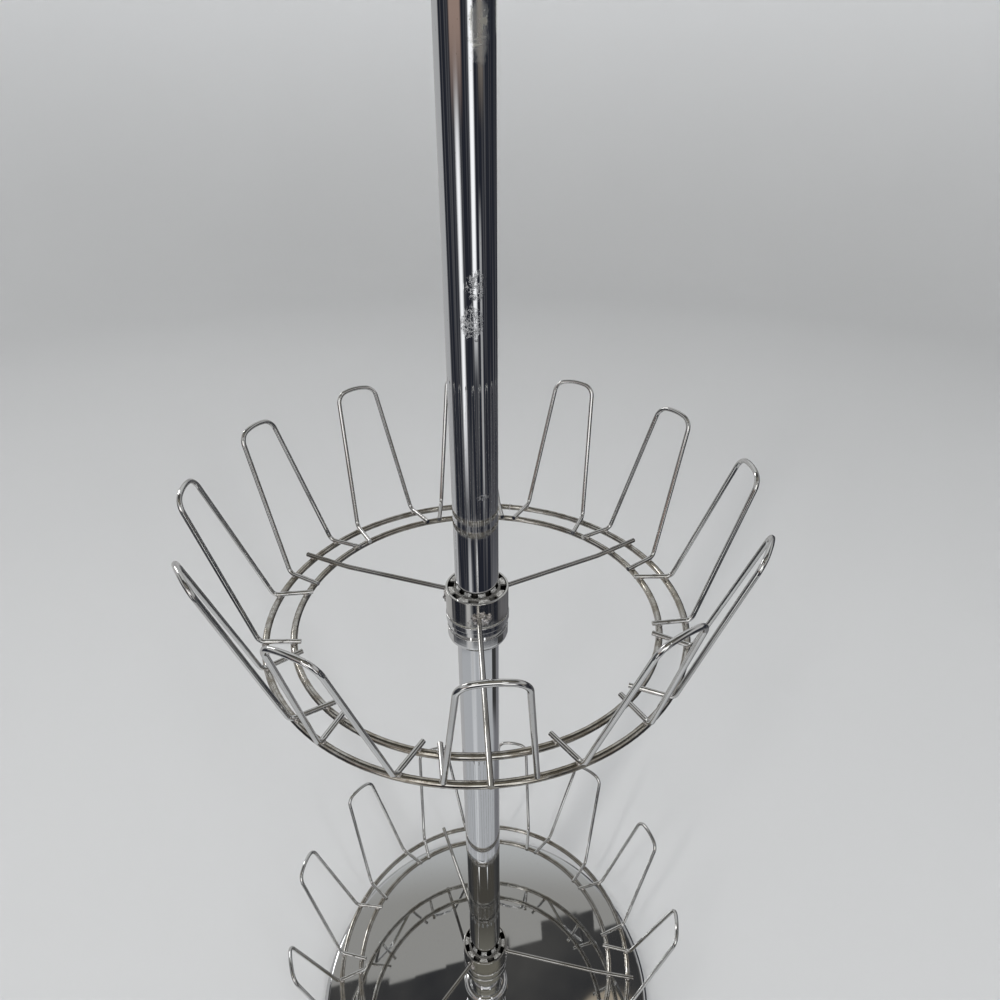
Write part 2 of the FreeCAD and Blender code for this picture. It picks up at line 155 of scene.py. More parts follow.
def height_in_tier(tree, place):
    """Height of a point in its own tier, from TIER_FOOT below the ring plane."""
    above = maths(tree, "SUBTRACT", separated(tree, place)[2], RING_PLANE["lower"] - TIER_FOOT)
    return maths(tree, "MODULO", above, TIER_PITCH)


def make_handling_marks():
    """Soft smudges and fine dust that make polished metal less even."""
    tree, given, made = new_group("handling_marks", [
        ("Vector", VECTOR, None),
        ("Smudge Size", FLOAT, 40.0),
        ("Dust Size", FLOAT, 1400.0),
        ("Least", FLOAT, 0.05),
        ("Most", FLOAT, 0.15),
    ], ["Roughness", "Dust"])
    smudges = speckle(tree, given["Vector"], given["Smudge Size"], 3.0, 0.6)
    smudges = between(tree, smudges, 0.38, 0.72, smooth=True)
    fine = speckle(tree, given["Vector"], given["Dust Size"], 1.0, 0.5)
    dust = between(tree, fine, 0.70, 0.80)
    share = maths(tree, "MAXIMUM", smudges, times(tree, dust, 0.9))
    rough = between(tree, share, 0.0, 1.0, given["Least"], given["Most"])
    link(tree, rough, made["Roughness"])
    link(tree, dust, made["Dust"])
    return tree


def make_polish_lines():
    """Fine lines left by polishing or drawing, along the direction that is stretched least."""
    tree, given, made = new_group("polish_lines", [
        ("Vector", VECTOR, None),
        ("Stretch", VECTOR, (1.0, 1.0, 1.0)),
        ("Share", FLOAT, 0.5),
    ], ["Height", "Lines"])
    moved = vector_maths(tree, "MULTIPLY", given["Vector"], given["Stretch"])
    coarse = speckle(tree, moved, 1.0, 2.0, 0.65)
    fine = speckle(tree, moved, 3.7, 1.0, 0.5)
    height = add(tree, "ShaderNodeMix", {0: given["Share"], 2: coarse, 3: fine}).outputs[0]
    link(tree, height, made["Height"])
    link(tree, between(tree, fine, 0.60, 0.74), made["Lines"])
    return tree


def make_rub_patch():
    """Ragged patch round a centre: short criss-cross rubbing, or a film where it is covered."""
    tree, given, made = new_group("rub_patch", [
        ("Vector", VECTOR, None),
        ("Centre", VECTOR, (0.0, 0.0, 0.0)),
        ("Reach", VECTOR, (0.005, 0.005, 0.01)),
        ("Grain", FLOAT, 900.0),
        ("Cover", FLOAT, 0.0),
    ], ["Mask"])
    place, grain = given["Vector"], given["Grain"]
    offset = vector_maths(tree, "SUBTRACT", place, given["Centre"])
    distance = vector_maths(tree, "LENGTH", vector_maths(tree, "DIVIDE", offset, given["Reach"]))
    ragged = speckle(tree, place, 420.0, 3.0, 0.7)
    edge = plus(tree, distance, times(tree, ragged, 0.9))
    inside = between(tree, edge, 1.45, 1.05, smooth=True)
    upright = stretched(tree, place, (1.0, 1.0, 0.22), (0.35, 0.2, 0.0))
    upright = between(tree, speckle(tree, upright, grain, 2.0, 0.6), 0.52, 0.62)
    across = stretched(tree, place, (0.30, 0.30, 1.0), (-0.5, 0.3, 0.2))
    across = between(tree, speckle(tree, across, grain, 2.0, 0.6), 0.54, 0.64)
    strokes = maths(tree, "MAXIMUM", maths(tree, "MAXIMUM", upright, across), given["Cover"])
    link(tree, times(tree, inside, strokes), made["Mask"])
    return tree


def make_weld_haze():
    """Dull, faintly browned plating where wires are welded across the rings of a tier."""
    tree, given, made = new_group("weld_haze", [
        ("Vector", VECTOR, None),
        ("Strength", FLOAT, 1.0),
    ], ["Mask"])
    above_rings = maths(tree, "SUBTRACT", height_in_tier(tree, given["Vector"]), TIER_FOOT)
    near = between(tree, maths(tree, "ABSOLUTE", above_rings), 0.0058, 0.0020, smooth=True)
    patchy = between(tree, speckle(tree, given["Vector"], 160.0, 3.0, 0.6), 0.40, 0.66)
    link(tree, times(tree, times(tree, near, patchy), given["Strength"]), made["Mask"])
    return tree


HANDLING = make_handling_marks()
POLISH = make_polish_lines()
RUB = make_rub_patch()
HAZE = make_weld_haze()


def handling(tree, place, smudge_size, dust_size, least, most):
    """The handling marks in a finish, with the least and most roughness they give."""
    values = {"Vector": place, "Smudge Size": smudge_size, "Dust Size": dust_size,
              "Least": least, "Most": most}
    return add(tree, "ShaderNodeGroup", values, node_tree=HANDLING).outputs


def polish(tree, place, stretch, share):
    """The polish lines in a finish; share is that of the finer lines."""
    values = {"Vector": place, "Stretch": stretch, "Share": share}
    return add(tree, "ShaderNodeGroup", values, node_tree=POLISH).outputs


def rub(tree, place, centre, reach, grain, cover):
    """One ragged patch in a finish."""
    values = {"Vector": place, "Centre": centre, "Reach": reach, "Grain": grain, "Cover": cover}
    return add(tree, "ShaderNodeGroup", values, node_tree=RUB).outputs["Mask"]


def new_material(name, metallic=1.0):
    """Bare material; returns it with its tree, its Principled shader and object coordinates."""
    material = bpy.data.materials.new(name)
    material.use_nodes = True
    tree = material.node_tree
    shader = tree.nodes["Principled BSDF"]
    shader.inputs["Metallic"].default_value = metallic
    place = tree.nodes.new("ShaderNodeTexCoord").outputs["Object"]
    return material, tree, shader, place


def bump(tree, shader, height, distance, strength):
    """Bump on the shader's normal; distance is how far a height of one stands out, in metres."""
    values = {"Height": height, "Distance": distance, "Strength": strength}
    link(tree, add(tree, "ShaderNodeBump", values).outputs[0], shader.inputs["Normal"])


# ---------------------------------------------------------------- finishes
# Rubbed patches on the pole: centre, reach, grain and cover.
RUBBED_PATCHES = (
    ((0.0024, -0.0125, 0.6368), (0.0058, 0.0050, 0.0078), 1150.0, 0.10),
    ((0.0004, -0.0127, 0.6205), (0.0060, 0.0050, 0.0088), 1700.0, 0.04),
    ((0.0023, -0.0125, 0.6122), (0.0008, 0.0020, 0.0008), 900.0, 1.0),
    ((0.0045, -0.0118, 0.5275), (0.0046, 0.0040, 0.0018), 900.0, 0.0),
    ((-0.0118, 0.0040, 0.3050), (0.0040, 0.0060, 0.0120), 1300.0, 0.05),
    ((0.0060, 0.0112, 0.7400), (0.0060, 0.0040, 0.0090), 1300.0, 0.05),
)
# What is left of a sticker on the pole: a thin film of glue, and a flake of its edge.
STICKER_FILM = ((0.0058, -0.0113, 0.7330), (0.0046, 0.0050, 0.0140), 260.0, 0.45)
STICKER_FLAKE = ((0.0124, -0.0030, 0.7380), (0.0010, 0.0010, 0.0085), 500.0, 0.7)

# Heights above the ring plane: up to where the collar is stained and the bush's slots are darkened
# with painted shade, and below which they are so in full.
STAIN_TOP = 0.0072
STAIN_FULL = 0.0036
SLOT_SHADE_TOP = 0.01868
SLOT_SHADE_FULL = 0.01800


def pole_chrome():
    """Bright chrome tube: lengthwise lines, smudges, rubbed patches and an old sticker's film."""
    material, tree, shader, place = new_material("pole_chrome")
    long_ways = stretched(tree, place, (1.0, 1.0, 0.35))
    marks = handling(tree, long_ways, smudge_size=34.0, dust_size=1500.0, least=0.016, most=0.066)
    lines = polish(tree, place, stretch=(900.0, 900.0, 6.0), share=0.35)
    rubs = rub(tree, place, *RUBBED_PATCHES[0])
    for patch in RUBBED_PATCHES[1:]:
        rubs = maths(tree, "MAXIMUM", rubs, rub(tree, place, *patch))
    film = rub(tree, place, *STICKER_FILM)
    flake = rub(tree, place, *STICKER_FLAKE)
    rough = plus(tree, marks["Roughness"], times(tree, lines["Lines"], 0.025))
    rough = plus(tree, rough, times(tree, rubs, 0.36))
    rough = plus(tree, rough, times(tree, maths(tree, "MAXIMUM", film, flake), 0.34))
    link(tree, rough, shader.inputs["Roughness"])
    colour = blended(tree, marks["Dust"], (0.80, 0.81, 0.83), (0.62, 0.62, 0.61))
    colour = blended(tree, rubs, colour, (0.92, 0.93, 0.94))
    colour = blended(tree, times(tree, film, 0.8), colour, (0.46, 0.44, 0.36))
    colour = blended(tree, flake, colour, (0.78, 0.77, 0.72))
    link(tree, colour, shader.inputs["Base Color"])
    stuck = maths(tree, "ADD", times(tree, film, 0.35), times(tree, flake, 0.9), clamp=True)
    link(tree, maths(tree, "SUBTRACT", 1.0, stuck), shader.inputs["Metallic"])
    height = plus(tree, times(tree, lines["Height"], 0.03), plus(tree, rubs, film))
    bump(tree, shader, height, distance=0.00004, strength=0.9)
    return material


def wire_plate(name, colour, tarnish, least, most, haze):
    """Bright plated wire, dulled and browned a little near the welds."""
    material, tree, shader, place = new_material(name)
    marks = handling(tree, place, smudge_size=90.0, dust_size=2200.0, least=least, most=most)
    values = {"Vector": place, "Strength": haze}
    near_weld = add(tree, "ShaderNodeGroup", values, node_tree=HAZE).outputs["Mask"]
    broad = between(tree, speckle(tree, place, 26.0, 2.0, 0.5), 0.42, 0.62, smooth=True)
    shade = blended(tree, broad, colour, tarnish)
    shade = blended(tree, near_weld, shade, (0.33, 0.29, 0.23))
    shade = blended(tree, times(tree, marks["Dust"], 0.6), shade, (0.30, 0.27, 0.23))
    link(tree, shade, shader.inputs["Base Color"])
    rough = plus(tree, marks["Roughness"], times(tree, near_weld, 0.22))
    link(tree, rough, shader.inputs["Roughness"])
    pits = speckle(tree, place, 2600.0, 2.0, 0.6)
    drawn = speckle(tree, place, 700.0, 2.0, 0.5)
    height = plus(tree, times(tree, pits, 0.4), drawn)
    bump(tree, shader, height, distance=0.000012, strength=0.8)
    return material


def collar_steel():
    """Satin plated collar: faint lines round it, stained and dull near its three welds."""
    material, tree, shader, place = new_material("collar_steel")
    marks = handling(tree, place, smudge_size=120.0, dust_size=1800.0, least=0.045, most=0.10)
    lines = polish(tree, place, stretch=(60.0, 60.0, 2600.0), share=0.5)
    low = between(tree, height_in_tier(tree, place), TIER_FOOT + STAIN_TOP, TIER_FOOT + STAIN_FULL,
                  smooth=True)
    blotches = between(tree, speckle(tree, place, 330.0, 4.0, 0.7), 0.40, 0.60)
    stain = times(tree, low, blotches)
    shade = blended(tree, times(tree, stain, 0.35), (0.72, 0.71, 0.69), (0.34, 0.32, 0.29))
    shade = blended(tree, times(tree, lines["Lines"], 0.12), shade, (0.46, 0.45, 0.43))
    link(tree, shade, shader.inputs["Base Color"])
    rough = plus(tree, marks["Roughness"], times(tree, stain, 0.14))
    link(tree, rough, shader.inputs["Roughness"])
    height = plus(tree, times(tree, lines["Height"], 0.35), stain)
    bump(tree, shader, height, distance=0.000008, strength=0.6)
    return material


def cast_bush():
    """Plated casting: grainy lugs, with painted shade in its slots, by the pole and by the collar.
    """
    material, tree, shader, place = new_material("cast_bush", 0.7)
    grain = speckle(tree, place, 820.0, 3.0, 0.7)
    # painted shade: the slots are darkened to near black below the lug tops, and made rougher there
    slot_shade = between(tree, height_in_tier(tree, place), TIER_FOOT + SLOT_SHADE_TOP, TIER_FOOT + SLOT_SHADE_FULL,
                   smooth=True)
    shade = blended(tree, between(tree, grain, 0.42, 0.58), (0.30, 0.29, 0.27), (0.88, 0.87, 0.84))
    shade = blended(tree, slot_shade, shade, (0.010, 0.009, 0.008))
    radius = vector_maths(tree, "LENGTH", vector_maths(tree, "MULTIPLY", place, (1.0, 1.0, 0.0)))
    # painted shade: mid grey on the sleeve next to the pole, near black in the gap under the
    # collar's rim
    sleeve_shade = between(tree, radius, 0.0139, 0.0136)
    rim_gap_shade = between(tree, radius, 0.0166, 0.0170)
    shade = blended(tree, sleeve_shade, shade, (0.30, 0.29, 0.27))
    shade = blended(tree, rim_gap_shade, shade, (0.012, 0.011, 0.010))
    link(tree, shade, shader.inputs["Base Color"])
    rough = between(tree, grain, 0.35, 0.70, 0.30, 0.14)
    link(tree, plus(tree, rough, times(tree, slot_shade, 0.5)), shader.inputs["Roughness"])
    bump(tree, shader, grain, distance=0.00045, strength=1.0)
    return material


def turned_chrome(name, rings):
    """Chrome over turned metal, with fine tool lines round it."""
    material, tree, shader, place = new_material(name)
    marks = handling(tree, place, smudge_size=110.0, dust_size=1700.0, least=0.030, most=0.085)
    lines = polish(tree, place, stretch=(30.0, 30.0, rings), share=0.4)
    shade = blended(tree, marks["Dust"], (0.82, 0.82, 0.82), (0.56, 0.55, 0.53))
    shade = blended(tree, times(tree, lines["Lines"], 0.08), shade, (0.60, 0.60, 0.60))
    link(tree, shade, shader.inputs["Base Color"])
    link(tree, marks["Roughness"], shader.inputs["Roughness"])
    bump(tree, shader, lines["Height"], distance=0.000005, strength=0.5)
    return material


def mirror_plate():
    """Mirror-polished dish: wiping haze, short hairline scratches and settled dust."""
    material, tree, shader, place = new_material("mirror_plate")
    marks = handling(tree, place, smudge_size=13.0, dust_size=1100.0, least=0.014, most=0.042)
    hairs = []
    for turn, stretch in ((0.5, (1500.0, 42.0, 60.0)), (-0.9, (1300.0, 36.0, 60.0))):
        turned = stretched(tree, place, (1, 1, 1), (0, 0, turn))
        hairs.append(polish(tree, turned, stretch, share=0.5)["Lines"])
    worn = between(tree, speckle(tree, place, 22.0, 3.0, 0.6), 0.50, 0.66, smooth=True)
    hair = times(tree, maths(tree, "MAXIMUM", *hairs), worn)
    rough = plus(tree, marks["Roughness"], times(tree, hair, 0.03))
    link(tree, rough, shader.inputs["Roughness"])
    shade = blended(tree, marks["Dust"], (0.74, 0.75, 0.755), (0.60, 0.59, 0.57))
    link(tree, shade, shader.inputs["Base Color"])
    ripple = speckle(tree, place, 16.0, 1.0, 0.4)
    bump(tree, shader, ripple, distance=0.00012, strength=0.35)
    return material


def zinc_steel():
    """Bright zinc plate with a blue-grey spangle, for screws and plugs."""
    material, tree, shader, place = new_material("zinc_steel")
    cells = add(tree, "ShaderNodeTexVoronoi", {"Vector": place, "Scale": 900.0}).outputs["Color"]
    cell = add(tree, "ShaderNodeSeparateColor", {0: cells}).outputs[0]
    shade = blended(tree, cell, (0.50, 0.52, 0.55), (0.66, 0.67, 0.68))
    link(tree, shade, shader.inputs["Base Color"])
    link(tree, between(tree, cell, 0.0, 1.0, 0.26, 0.40), shader.inputs["Roughness"])
    bump(tree, shader, speckle(tree, place, 1800.0), distance=0.00002, strength=0.7)
    return material


def nylon():
    """Natural nylon, milky and slightly uneven."""
    material, tree, shader, place = new_material("nylon", 0.0)
    shader.inputs["Subsurface Weight"].default_value = 0.15
    shader.inputs["Subsurface Radius"].default_value = (0.002, 0.002, 0.0015)
    cloudy = speckle(tree, place, 260.0, 3.0)
    shade = blended(tree, cloudy, (0.70, 0.68, 0.61), (0.80, 0.79, 0.74))
    link(tree, shade, shader.inputs["Base Color"])
    rough = between(tree, speckle(tree, place, 900.0), 0.3, 0.7, 0.36, 0.50)
    link(tree, rough, shader.inputs["Roughness"])
    bump(tree, shader, speckle(tree, place, 1400.0), distance=0.00002, strength=0.6)
    return material


def rubber():
    """Black rubber with a fine moulded grain and some grey dust."""
    material, tree, shader, place = new_material("rubber", 0.0)
    dust = between(tree, speckle(tree, place, 240.0, 4.0, 0.7), 0.50, 0.72)
    shade = blended(tree, dust, (0.018, 0.018, 0.018), (0.075, 0.073, 0.070))
    link(tree, shade, shader.inputs["Base Color"])
    rough = between(tree, speckle(tree, place, 700.0), 0.3, 0.7, 0.62, 0.82)
    link(tree, rough, shader.inputs["Roughness"])
    bump(tree, shader, speckle(tree, place, 2200.0, 3.0, 0.6), distance=0.00006, strength=0.8)
    return material


def weld_metal():
    """Weld bead: bright plating over a lumpy, partly browned surface."""
    material, tree, shader, place = new_material("weld_metal")
    lumps = speckle(tree, place, 900.0, 3.0, 0.6)
    plated = between(tree, lumps, 0.36, 0.56)
    shade = blended(tree, plated, (0.46, 0.42, 0.39), (0.90, 0.87, 0.86))
    link(tree, shade, shader.inputs["Base Color"])
    link(tree, between(tree, lumps, 0.3, 0.7, 0.36, 0.20), shader.inputs["Roughness"])
    bump(tree, shader, lumps, distance=0.00009, strength=0.9)
    return material


FINISH = {
    "pole_chrome": pole_chrome(),
    "cap_chrome": turned_chrome("cap_chrome", rings=60.0),
    "cup_chrome": turned_chrome("cup_chrome", rings=2200.0),
    "mirror_chrome": mirror_plate(),
    "collar_steel": collar_steel(),
    "bush_metal": cast_bush(),
    "ring_wire": wire_plate("ring_wire", (0.68, 0.665, 0.63), (0.60, 0.57, 0.51),
                            least=0.05, most=0.13, haze=0.75),
    "spoke_wire": wire_plate("spoke_wire", (0.54, 0.53, 0.515), (0.44, 0.425, 0.395),
                             least=0.06, most=0.13, haze=0.75),
    "loop_wire": wire_plate("loop_wire", (0.84, 0.84, 0.83), (0.74, 0.735, 0.72),
                            least=0.02, most=0.07, haze=0.6),
    "zinc_steel": zinc_steel(),
    "washer_nylon": nylon(),
    "pad_rubber": rubber(),
}
WELD = weld_metal()


def dress_frame():
    """Give every solid of the frame the finish of its slot."""
    slots = {row["node"]: row["material_slot"] for row in frame["record"]["subparts"]}
    for name, solid in frame["nodes"].items():
        solid.data.materials.clear()
        solid.data.materials.append(FINISH[slots[name]])


dress_frame()

# ---------------------------------------------------------------- beads and seams on the tiers
WELD_BULK = {"lower": 0.6, "middle": 1.0, "upper": 0.75}     # how far a spoke's weld metal spreads

# The main lumps where a spoke is welded on: across and up from it, half-sizes, and crumpling.
SPOKE_LUMPS = (
    (0.0004, -0.0010, (0.0027, 0.0030, 0.0029), 0.5),
    (-0.0018, -0.0016, (0.0014, 0.0019, 0.0022), 0.7),
    (0.0040, -0.0022, (0.0018, 0.0026, 0.0028), 0.8),
    (0.0028, 0.0004, (0.0016, 0.0017, 0.0017), 0.7),
)
SMALL_LUMPS = 8
SPATTER_DROPS = 9

STUB_BEAD = (0.0016, 0.0018, 0.00075)       # half-sizes: outward, along the ring, upward
SPOKE_TIP_BEAD = (0.0016, 0.0019, 0.0008)
SEAM_BEAD = (RING_WIRE * 1.13, 0.0013, RING_WIRE * 1.13)
BEAD_HEIGHT = RING_WIRE - 0.0001            # of the beads on a ring, above the ring plane
BEAD_CRUMPLE = 0.25
SEAM_CRUMPLE = 0.08
OUTER_SEAM = 76.0                           # where each ring is closed, in degrees
INNER_SEAM = 196.0


def new_piece(name, shape, material, body):
    """Mesh from a bmesh, riding on a body."""
    mesh = bpy.data.meshes.new(name)
    shape.to_mesh(mesh)
    shape.free()
    mesh.polygons.foreach_set("use_smooth", [True] * len(mesh.polygons))
    mesh.materials.append(material)
    piece = bpy.data.objects.new(name, mesh)
    bpy.context.scene.collection.objects.link(piece)
    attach(piece, body)


def turn_of(tier, degrees):
    """One of a tier's own directions, as an angle about the pole in radians."""
    return math.radians(TIER_TURN[tier] + degrees)


def on_tier(tier, degrees, radius, across=0.0, height=0.0):
    """Point of a tier: along a direction from the pole, then across it, above the ring plane."""
    turn = turn_of(tier, degrees)
    out = Vector((math.cos(turn), math.sin(turn), 0))
    side = Vector((-math.sin(turn), math.cos(turn), 0))
    return out * radius + side * across + Vector((0, 0, RING_PLANE[tier] + height))


def add_bead(shape, centre, reach, turn, seed, crumple, fineness=2):
    """Lumpy bead of weld metal with its three half-sizes, turned about the upright."""
    made = bmesh.ops.create_icosphere(shape, subdivisions=fineness, radius=1.0)
    place = Matrix.Translation(centre) @ Matrix.Rotation(turn, 4, "Z")
    for vert in made["verts"]:
        swell = 1 + crumple * noise.noise(vert.co * 1.6 + Vector((seed * 3.7, seed * 1.3, 0)))
        swell += crumple * 0.5 * noise.noise(vert.co * 4.1 + Vector((0, seed * 2.9, seed)))
        vert.co = place @ Vector([side * half * swell for side, half in zip(vert.co, reach)])


def spoke_welds(tier):
    """Crumpled weld metal that holds each spoke on the collar, with spatter beside it."""
    rng = random.Random(len(tier) * 11)
    bulk = WELD_BULK[tier]
    shape = bmesh.new()

    def on_collar(degrees, across, up, reach, crumple, fineness):
        degrees += math.degrees(math.asin(bulk * across / COLLAR_RADIUS))
        reach = [bulk * half for half in reach]
        centre = on_tier(tier, degrees, COLLAR_RADIUS + reach[0] * 0.25, 0,
                         SPOKE_HUB_HEIGHT + bulk * up)
        add_bead(shape, centre, reach, turn_of(tier, degrees), rng.uniform(0, 60), crumple,
                 fineness)

    for degrees in SPOKE_DIRECTIONS:
        for across, up, reach, crumple in SPOKE_LUMPS:
            on_collar(degrees, across, up, reach, crumple, 3)
        for lump in range(SMALL_LUMPS):
            size = rng.uniform(0.0008, 0.0014)
            on_collar(degrees, rng.uniform(-0.0034, 0.0068), rng.uniform(-0.0050, 0.0006),
                      (size * 1.1, size, size * 1.3), 0.9, 2)
        for drop in range(SPATTER_DROPS):
            size = rng.uniform(0.00022, 0.00050)
            on_collar(degrees, rng.uniform(-0.0065, 0.0090), rng.uniform(-0.0072, 0.0014),
                      (size, size, size * 1.2), 0.2, 1)
    new_piece("spoke_welds_" + tier, shape, WELD, "tier_" + tier)


def wire_welds(tier):
    """Small beads where stubs and spoke tips cross the two rings."""
    shape = bmesh.new()
    for number in range(LOOPS):
        degrees = number * LOOP_STEP
        for side in (-1, 1):
            for ring, spread in zip((OUTER_RING, INNER_RING), STUB_SPREAD):
                radius = math.sqrt(ring ** 2 - spread ** 2)
                centre = on_tier(tier, degrees, radius, side * spread, BEAD_HEIGHT)
                add_bead(shape, centre, STUB_BEAD, turn_of(tier, degrees),
                         number + side * 0.3 + ring * 50, BEAD_CRUMPLE)
    for number, degrees in enumerate(SPOKE_DIRECTIONS):
        for ring in (OUTER_RING, INNER_RING):
            centre = on_tier(tier, degrees, ring, 0, BEAD_HEIGHT)
            add_bead(shape, centre, SPOKE_TIP_BEAD, turn_of(tier, degrees), number + ring * 80,
                     BEAD_CRUMPLE)
    new_piece("wire_welds_" + tier, shape, WELD, "tier_" + tier)


def ring_seams(tier):
    """Swollen butt welds where each ring's wire is closed."""
    shape = bmesh.new()
    for ring, degrees in ((OUTER_RING, OUTER_SEAM), (INNER_RING, INNER_SEAM)):
        add_bead(shape, on_tier(tier, degrees, ring), SEAM_BEAD, turn_of(tier, degrees), ring * 90,
                 SEAM_CRUMPLE, 3)
    new_piece("ring_seams_" + tier, shape, WELD, "tier_" + tier)


for tier_name in TIERS:
    spoke_welds(tier_name)
    wire_welds(tier_name)
    ring_seams(tier_name)

# ---------------------------------------------------------------- studio
NEAR_FLOOR = 0.15                    # radius of the middle of the floor, which metal mirrors
SWEEP_START = 2.4                    # radius at which the floor starts to sweep up, in a 1 m curve
WALL_RADIUS = 3.4
WALL_TOP = 6.0

# Soft lamps: name, place, what it is aimed at, size, watts, colour, and if metal mirrors it.
LAMPS = (
    ("overhead_lamp", (0, -0.2, 3.1), (0, 0, 0), (3.4, 3.4), 64, (1, 1, 1), False),
    ("key_lamp", (-1.03, -1.62, 2.22), (0, 0, 0.1), (0.13, 0.75), 20, (1.0, 0.985, 0.96), False),
    ("fill_lamp", (0.92, -1.70, 2.24), (0, 0, 0.1), (0.11, 0.75), 12, (0.96, 0.98, 1.0), False),
    ("back_lamp", (-1.9, 1.7, 1.9), (0, 0, 0.5), (0.3, 1.1), 6, (1, 1, 1), True),
)

# Cards hung round the tower for its polished metal to mirror: azimuth from the front and to the
# right, level, width, height and softness in degrees, and light. They hang before dark walls.
ROOM_CARDS = (
    ("pale floor", 0, -70, 400, 56, 1.5, (0.44, 0.45, 0.46)),
    ("sheen on the floor", -32, -60, 24, 40, 14, (0.62, 0.63, 0.64)),
    ("dim floor", 118, -60, 60, 50, 22, (0.18, 0.18, 0.19)),
    ("dark stool", 96, -44, 32, 7, 3, (0.04, 0.04, 0.04)),
    ("pale wall behind", 205, 0, 95, 140, 7, (0.42, 0.42, 0.42)),
    ("left window", -37, -15, 15, 26, 11, (1.10, 1.10, 1.10)),
    ("right window", 19, -4, 15, 28, 8, (1.15, 1.15, 1.15)),
    ("right shelf", 45, -20, 9, 22, 5, (0.40, 0.40, 0.40)),
    ("brown door", -36, 8, 42, 16, 8, (0.32, 0.23, 0.19)),
    ("brown cupboard", 56, 8, 20, 16, 8, (0.26, 0.22, 0.18)),
    ("left of the door", -34, -40, 14, 12, 7, (0.52, 0.52, 0.52)),
    ("gap of the door", 3, -39, 7, 9, 4, (1.05, 1.05, 1.05)),
    ("pale upper walls", 0, 31, 400, 40, 12, (0.34, 0.34, 0.345)),
    ("paper over the windows", -8, 22, 50, 28, 6, (1.30, 1.30, 1.30)),
    ("paper on the left", -95, 32, 60, 36, 12, (0.45, 0.45, 0.45)),
    ("paper on the right", 95, 32, 60, 36, 12, (0.45, 0.45, 0.45)),
)
# The lamps as metal mirrors them, against the ceiling.
LAMP_CARDS = (
    ("left lamp", -31, 49.5, 5, 17, 2, (3.0, 2.96, 2.9)),
    ("right lamp", 27, 49.5, 4, 17, 2, (2.6, 2.65, 2.7)),
)

# Edges of the pale panel overhead: which way its inner side faces, softness, and how far the steps
# of the edge jut out.
PANEL_EDGES = (
    ((-0.188, 0.871, -0.454), 0.0015, 0.026),
    ((-0.90, 0.44, 0.0), 0.03, 0.0),
    ((0.79, 0.61, 0.0), 0.03, 0.0),
)
PANEL_STEPS = 30.0                   # steps to a unit of length along the edge

# The way to a small warm patch overhead, behind the tower.
WARM_PATCH = (0.137, 0.378, 0.916)


def paper():
    """Matt backdrop paper, paler up the wall, with a faint unevenness and a little glow."""
    material, tree, shader, place = new_material("pale_paper", 0.0)
    shader.inputs["Specular IOR Level"].default_value = 0.1
    shader.inputs["Roughness"].default_value = 0.9
    cloudy = speckle(tree, place, 1.6, 2.0)
    shade = blended(tree, cloudy, (0.545, 0.550, 0.555), (0.570, 0.575, 0.580))
    height = separated(tree, place)[2]
    shade = blended(tree, between(tree, height, 0.1, 1.9, smooth=True), shade, (0.86, 0.87, 0.88))
    link(tree, shade, shader.inputs["Base Color"])
    # the glow is for the camera alone and lights nothing
    shader.inputs["Emission Color"].default_value = (0.98, 0.99, 1.0, 1)
    seen = tree.nodes.new("ShaderNodeLightPath").outputs["Is Camera Ray"]
    glow = between(tree, height, 0.05, 2.2, 0.0, 0.20)
    link(tree, times(tree, seen, glow), shader.inputs["Emission Strength"])
    return material


def backdrop(name, profile, material, steps=96):
    """Round piece of the studio, from a profile of radius and height."""
    corners = []
    faces = []
    for radius, height in profile:
        for step in range(steps):
            turn = 2 * math.pi * step / steps
            corners.append((radius * math.cos(turn), radius * math.sin(turn), height))
    for row in range(len(profile) - 1):
        low, high = row * steps, (row + 1) * steps
        for step in range(steps):
            after = (step + 1) % steps
            faces.append((low + step, high + step, high + after, low + after))
    mesh = bpy.data.meshes.new(name)
    mesh.from_pydata(corners, [], faces)
    mesh.polygons.foreach_set("use_smooth", [True] * len(mesh.polygons))
    mesh.materials.append(material)
    made = bpy.data.objects.new(name, mesh)
    bpy.context.scene.collection.objects.link(made)
    return made


def floor_and_walls():
    """Pale floor that sweeps up into a round wall; polished metal mirrors only its middle."""
    pale = paper()
    backdrop("floor_middle", [(0.002, 0), (0.1, 0), (NEAR_FLOOR, 0)], pale)
    profile = [(NEAR_FLOOR, 0), (1.4, 0)]
    for degrees in range(0, 91, 10):
        turn = math.radians(degrees)
        profile.append((SWEEP_START + math.sin(turn), 1 - math.cos(turn)))
    profile += [(WALL_RADIUS, 2.2), (WALL_RADIUS, WALL_TOP)]
    outer = backdrop("floor_and_wall", profile, pale)
    outer.visible_glossy = False


def soft_box(name, place, target, size, power, colour, mirrored):
    """Large soft lamp aimed at a point."""
    lamp = bpy.data.lights.new(name, "AREA")
    lamp.shape = "RECTANGLE"
    lamp.size, lamp.size_y = size
    lamp.energy = power
    lamp.color = colour
    holder = bpy.data.objects.new(name, lamp)
    holder.location = place
    aim = Vector(target) - Vector(place)
    holder.rotation_euler = aim.to_track_quat("-Z", "Y").to_euler()
    holder.visible_camera = False
    holder.visible_glossy = mirrored
    bpy.context.scene.collection.objects.link(holder)


def dark_walls(tree, way):
    """Dark walls of the room, paler in upright bands."""
    upright = speckle(tree, stretched(tree, way, (5.0, 5.0, 0.4)), 1.6, 1.0)
    bands = between(tree, upright, 0.46, 0.74)
    return blended(tree, bands, (0.018, 0.020, 0.028), (0.11, 0.11, 0.115))


